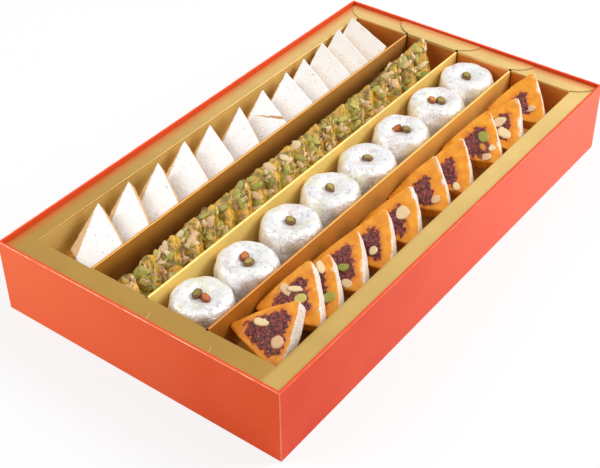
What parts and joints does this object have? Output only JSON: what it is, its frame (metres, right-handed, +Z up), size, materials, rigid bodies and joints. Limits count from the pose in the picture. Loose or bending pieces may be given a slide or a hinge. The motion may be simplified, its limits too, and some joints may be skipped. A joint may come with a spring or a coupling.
{
  "type": "mithai sweet box",
  "caption": "Open paper-wrapped box with a folded gold card insert in compartments, each packed with one kind of Indian sweet: leaf-covered diamonds, nut slabs, round pedas, filled wedges",
  "frame": {"origin": "middle of the underside of the box", "axes": "+X across the box, +Y along its long side, +Z up"},
  "size_m": [0.203, 0.355, 0.0574],
  "materials": {
    "red_paper": "coated wrapping paper, red outside and red-brown inside the rim",
    "greyboard": "plain greyboard, covered all over",
    "gold_card": "metallised gold card, satin",
    "silver_leaf_sweet": "pressed milk fudge covered with edible silver leaf",
    "nut_sweet": "chopped pistachios and almonds set in sugar",
    "peda_sweet": "soft milk sweet under silver leaf, with a pistachio sliver",
    "orange_sweet": "orange fudge round a dark jam core"
  },
  "bodies": {
    "box": {"base_wrap": "red_paper", "board_shell": "greyboard"},
    "insert": {"insert_tray": "gold_card", "near_end_flaps": "gold_card", "far_end_flaps": "gold_card"},
    "divider_left": {"divider_left": "gold_card"},
    "divider_middle": {"divider_middle": "gold_card"},
    "divider_right": {"divider_right": "gold_card"},
    "silver_diamond_01": {"silver_diamond_01": "silver_leaf_sweet"},
    "silver_diamond_02": {"silver_diamond_02": "silver_leaf_sweet"},
    "silver_diamond_03": {"silver_diamond_03": "silver_leaf_sweet"},
    "silver_diamond_04": {"silver_diamond_04": "silver_leaf_sweet"},
    "silver_diamond_05": {"silver_diamond_05": "silver_leaf_sweet"},
    "silver_diamond_06": {"silver_diamond_06": "silver_leaf_sweet"},
    "silver_diamond_07": {"silver_diamond_07": "silver_leaf_sweet"},
    "silver_diamond_08": {"silver_diamond_08": "silver_leaf_sweet"},
    "silver_diamond_09": {"silver_diamond_09": "silver_leaf_sweet"},
    "silver_diamond_10": {"silver_diamond_10": "silver_leaf_sweet"},
    "silver_diamond_11": {"silver_diamond_11": "silver_leaf_sweet"},
    "silver_diamond_12": {"silver_diamond_12": "silver_leaf_sweet"},
    "nut_slab_01": {"nut_slab_01": "nut_sweet"},
    "nut_slab_02": {"nut_slab_02": "nut_sweet"},
    "nut_slab_03": {"nut_slab_03": "nut_sweet"},
    "nut_slab_04": {"nut_slab_04": "nut_sweet"},
    "nut_slab_05": {"nut_slab_05": "nut_sweet"},
    "nut_slab_06": {"nut_slab_06": "nut_sweet"},
    "nut_slab_07": {"nut_slab_07": "nut_sweet"},
    "nut_slab_08": {"nut_slab_08": "nut_sweet"},
    "nut_slab_09": {"nut_slab_09": "nut_sweet"},
    "nut_slab_10": {"nut_slab_10": "nut_sweet"},
    "nut_slab_11": {"nut_slab_11": "nut_sweet"},
    "nut_slab_12": {"nut_slab_12": "nut_sweet"},
    "nut_slab_13": {"nut_slab_13": "nut_sweet"},
    "nut_slab_14": {"nut_slab_14": "nut_sweet"},
    "nut_slab_15": {"nut_slab_15": "nut_sweet"},
    "nut_slab_16": {"nut_slab_16": "nut_sweet"},
    "nut_slab_17": {"nut_slab_17": "nut_sweet"},
    "nut_slab_18": {"nut_slab_18": "nut_sweet"},
    "nut_slab_19": {"nut_slab_19": "nut_sweet"},
    "nut_slab_20": {"nut_slab_20": "nut_sweet"},
    "peda_01": {"peda_01": "peda_sweet"},
    "peda_02": {"peda_02": "peda_sweet"},
    "peda_03": {"peda_03": "peda_sweet"},
    "peda_04": {"peda_04": "peda_sweet"},
    "peda_05": {"peda_05": "peda_sweet"},
    "peda_06": {"peda_06": "peda_sweet"},
    "peda_07": {"peda_07": "peda_sweet"},
    "peda_08": {"peda_08": "peda_sweet"},
    "orange_wedge_01": {"orange_wedge_01": "orange_sweet"},
    "orange_wedge_02": {"orange_wedge_02": "orange_sweet"},
    "orange_wedge_03": {"orange_wedge_03": "orange_sweet"},
    "orange_wedge_04": {"orange_wedge_04": "orange_sweet"},
    "orange_wedge_05": {"orange_wedge_05": "orange_sweet"},
    "orange_wedge_06": {"orange_wedge_06": "orange_sweet"},
    "orange_wedge_07": {"orange_wedge_07": "orange_sweet"},
    "orange_wedge_08": {"orange_wedge_08": "orange_sweet"},
    "orange_wedge_09": {"orange_wedge_09": "orange_sweet"},
    "orange_wedge_10": {"orange_wedge_10": "orange_sweet"},
    "orange_wedge_11": {"orange_wedge_11": "orange_sweet"}
  },
  "joints": [
    {"name": "insert_lift", "type": "slide", "parent": "box", "child": "insert", "axis": [0, 0, 1], "range_m": [0, 0.06]},
    {"name": "divider_left_lift", "type": "slide", "parent": "insert", "child": "divider_left", "axis": [0, 0, 1], "range_m": [0, 0.045]},
    {"name": "divider_middle_lift", "type": "slide", "parent": "insert", "child": "divider_middle", "axis": [0, 0, 1], "range_m": [0, 0.045]},
    {"name": "divider_right_lift", "type": "slide", "parent": "insert", "child": "divider_right", "axis": [0, 0, 1], "range_m": [0, 0.045]},
    {"name": "silver_diamond_01_lift", "type": "slide", "parent": "insert", "child": "silver_diamond_01", "axis": [0, 0.866, 0.5], "range_m": [0, 0.06]},
    {"name": "silver_diamond_02_lift", "type": "slide", "parent": "insert", "child": "silver_diamond_02", "axis": [0, 0.866, 0.5], "range_m": [0, 0.06]},
    {"name": "silver_diamond_03_lift", "type": "slide", "parent": "insert", "child": "silver_diamond_03", "axis": [0, 0.866, 0.5], "range_m": [0, 0.06]},
    {"name": "silver_diamond_04_lift", "type": "slide", "parent": "insert", "child": "silver_diamond_04", "axis": [0, 0.866, 0.5], "range_m": [0, 0.06]},
    {"name": "silver_diamond_05_lift", "type": "slide", "parent": "insert", "child": "silver_diamond_05", "axis": [0, 0.866, 0.5], "range_m": [0, 0.06]},
    {"name": "silver_diamond_06_lift", "type": "slide", "parent": "insert", "child": "silver_diamond_06", "axis": [0, 0.866, 0.5], "range_m": [0, 0.06]},
    {"name": "silver_diamond_07_lift", "type": "slide", "parent": "insert", "child": "silver_diamond_07", "axis": [0, 0.866, 0.5], "range_m": [0, 0.06]},
    {"name": "silver_diamond_08_lift", "type": "slide", "parent": "insert", "child": "silver_diamond_08", "axis": [0, 0.866, 0.5], "range_m": [0, 0.06]},
    {"name": "silver_diamond_09_lift", "type": "slide", "parent": "insert", "child": "silver_diamond_09", "axis": [0, 0.866, 0.5], "range_m": [0, 0.06]},
    {"name": "silver_diamond_10_lift", "type": "slide", "parent": "insert", "child": "silver_diamond_10", "axis": [0, 0.866, 0.5], "range_m": [0, 0.06]},
    {"name": "silver_diamond_11_lift", "type": "slide", "parent": "insert", "child": "silver_diamond_11", "axis": [0, 0.866, 0.5], "range_m": [0, 0.06]},
    {"name": "silver_diamond_12_lift", "type": "slide", "parent": "insert", "child": "silver_diamond_12", "axis": [0, 0.866, 0.5], "range_m": [0, 0.06]},
    {"name": "nut_slab_01_lift", "type": "slide", "parent": "insert", "child": "nut_slab_01", "axis": [0, 0.1805, 0.9836], "range_m": [0, 0.035]},
    {"name": "nut_slab_02_lift", "type": "slide", "parent": "insert", "child": "nut_slab_02", "axis": [0, 0.5024, 0.8646], "range_m": [0, 0.04]},
    {"name": "nut_slab_03_lift", "type": "slide", "parent": "insert", "child": "nut_slab_03", "axis": [0, 0.7196, 0.6944], "range_m": [0, 0.045]},
    {"name": "nut_slab_04_lift", "type": "slide", "parent": "insert", "child": "nut_slab_04", "axis": [0, 0.788, 0.6157], "range_m": [0, 0.05]},
    {"name": "nut_slab_05_lift", "type": "slide", "parent": "insert", "child": "nut_slab_05", "axis": [0, 0.788, 0.6157], "range_m": [0, 0.05]},
    {"name": "nut_slab_06_lift", "type": "slide", "parent": "insert", "child": "nut_slab_06", "axis": [0, 0.788, 0.6157], "range_m": [0, 0.05]},
    {"name": "nut_slab_07_lift", "type": "slide", "parent": "insert", "child": "nut_slab_07", "axis": [0, 0.788, 0.6157], "range_m": [0, 0.05]},
    {"name": "nut_slab_08_lift", "type": "slide", "parent": "insert", "child": "nut_slab_08", "axis": [0, 0.788, 0.6157], "range_m": [0, 0.05]},
    {"name": "nut_slab_09_lift", "type": "slide", "parent": "insert", "child": "nut_slab_09", "axis": [0, 0.788, 0.6157], "range_m": [0, 0.05]},
    {"name": "nut_slab_10_lift", "type": "slide", "parent": "insert", "child": "nut_slab_10", "axis": [0, 0.788, 0.6157], "range_m": [0, 0.05]},
    {"name": "nut_slab_11_lift", "type": "slide", "parent": "insert", "child": "nut_slab_11", "axis": [0, 0.788, 0.6157], "range_m": [0, 0.05]},
    {"name": "nut_slab_12_lift", "type": "slide", "parent": "insert", "child": "nut_slab_12", "axis": [0, 0.788, 0.6157], "range_m": [0, 0.05]},
    {"name": "nut_slab_13_lift", "type": "slide", "parent": "insert", "child": "nut_slab_13", "axis": [0, 0.788, 0.6157], "range_m": [0, 0.05]},
    {"name": "nut_slab_14_lift", "type": "slide", "parent": "insert", "child": "nut_slab_14", "axis": [0, 0.788, 0.6157], "range_m": [0, 0.05]},
    {"name": "nut_slab_15_lift", "type": "slide", "parent": "insert", "child": "nut_slab_15", "axis": [0, 0.788, 0.6157], "range_m": [0, 0.05]},
    {"name": "nut_slab_16_lift", "type": "slide", "parent": "insert", "child": "nut_slab_16", "axis": [0, 0.788, 0.6157], "range_m": [0, 0.05]},
    {"name": "nut_slab_17_lift", "type": "slide", "parent": "insert", "child": "nut_slab_17", "axis": [0, 0.788, 0.6157], "range_m": [0, 0.05]},
    {"name": "nut_slab_18_lift", "type": "slide", "parent": "insert", "child": "nut_slab_18", "axis": [0, 0.788, 0.6157], "range_m": [0, 0.05]},
    {"name": "nut_slab_19_lift", "type": "slide", "parent": "insert", "child": "nut_slab_19", "axis": [0, 0.788, 0.6157], "range_m": [0, 0.05]},
    {"name": "nut_slab_20_lift", "type": "slide", "parent": "insert", "child": "nut_slab_20", "axis": [0, 0.788, 0.6157], "range_m": [0, 0.05]},
    {"name": "peda_01_lift", "type": "slide", "parent": "insert", "child": "peda_01", "axis": [0, 0, 1], "range_m": [0, 0.045]},
    {"name": "peda_02_lift", "type": "slide", "parent": "insert", "child": "peda_02", "axis": [0, 0, 1], "range_m": [0, 0.045]},
    {"name": "peda_03_lift", "type": "slide", "parent": "insert", "child": "peda_03", "axis": [0, 0, 1], "range_m": [0, 0.045]},
    {"name": "peda_04_lift", "type": "slide", "parent": "insert", "child": "peda_04", "axis": [0, 0, 1], "range_m": [0, 0.045]},
    {"name": "peda_05_lift", "type": "slide", "parent": "insert", "child": "peda_05", "axis": [0, 0, 1], "range_m": [0, 0.045]},
    {"name": "peda_06_lift", "type": "slide", "parent": "insert", "child": "peda_06", "axis": [0, 0, 1], "range_m": [0, 0.045]},
    {"name": "peda_07_lift", "type": "slide", "parent": "insert", "child": "peda_07", "axis": [0, 0, 1], "range_m": [0, 0.045]},
    {"name": "peda_08_lift", "type": "slide", "parent": "insert", "child": "peda_08", "axis": [0, 0, 1], "range_m": [0, 0.045]},
    {"name": "orange_wedge_01_lift", "type": "slide", "parent": "insert", "child": "orange_wedge_01", "axis": [0, 0.866, 0.5], "range_m": [0, 0.06]},
    {"name": "orange_wedge_02_lift", "type": "slide", "parent": "insert", "child": "orange_wedge_02", "axis": [0, 0.866, 0.5], "range_m": [0, 0.06]},
    {"name": "orange_wedge_03_lift", "type": "slide", "parent": "insert", "child": "orange_wedge_03", "axis": [0, 0.866, 0.5], "range_m": [0, 0.06]},
    {"name": "orange_wedge_04_lift", "type": "slide", "parent": "insert", "child": "orange_wedge_04", "axis": [0, 0.866, 0.5], "range_m": [0, 0.06]},
    {"name": "orange_wedge_05_lift", "type": "slide", "parent": "insert", "child": "orange_wedge_05", "axis": [0, 0.866, 0.5], "range_m": [0, 0.06]},
    {"name": "orange_wedge_06_lift", "type": "slide", "parent": "insert", "child": "orange_wedge_06", "axis": [0, 0.866, 0.5], "range_m": [0, 0.06]},
    {"name": "orange_wedge_07_lift", "type": "slide", "parent": "insert", "child": "orange_wedge_07", "axis": [0, 0.866, 0.5], "range_m": [0, 0.06]},
    {"name": "orange_wedge_08_lift", "type": "slide", "parent": "insert", "child": "orange_wedge_08", "axis": [0, 0.866, 0.5], "range_m": [0, 0.06]},
    {"name": "orange_wedge_09_lift", "type": "slide", "parent": "insert", "child": "orange_wedge_09", "axis": [0, 0.866, 0.5], "range_m": [0, 0.06]},
    {"name": "orange_wedge_10_lift", "type": "slide", "parent": "insert", "child": "orange_wedge_10", "axis": [0, 0.866, 0.5], "range_m": [0, 0.06]},
    {"name": "orange_wedge_11_lift", "type": "slide", "parent": "insert", "child": "orange_wedge_11", "axis": [0, 0.866, 0.5], "range_m": [0, 0.06]}
  ]
}
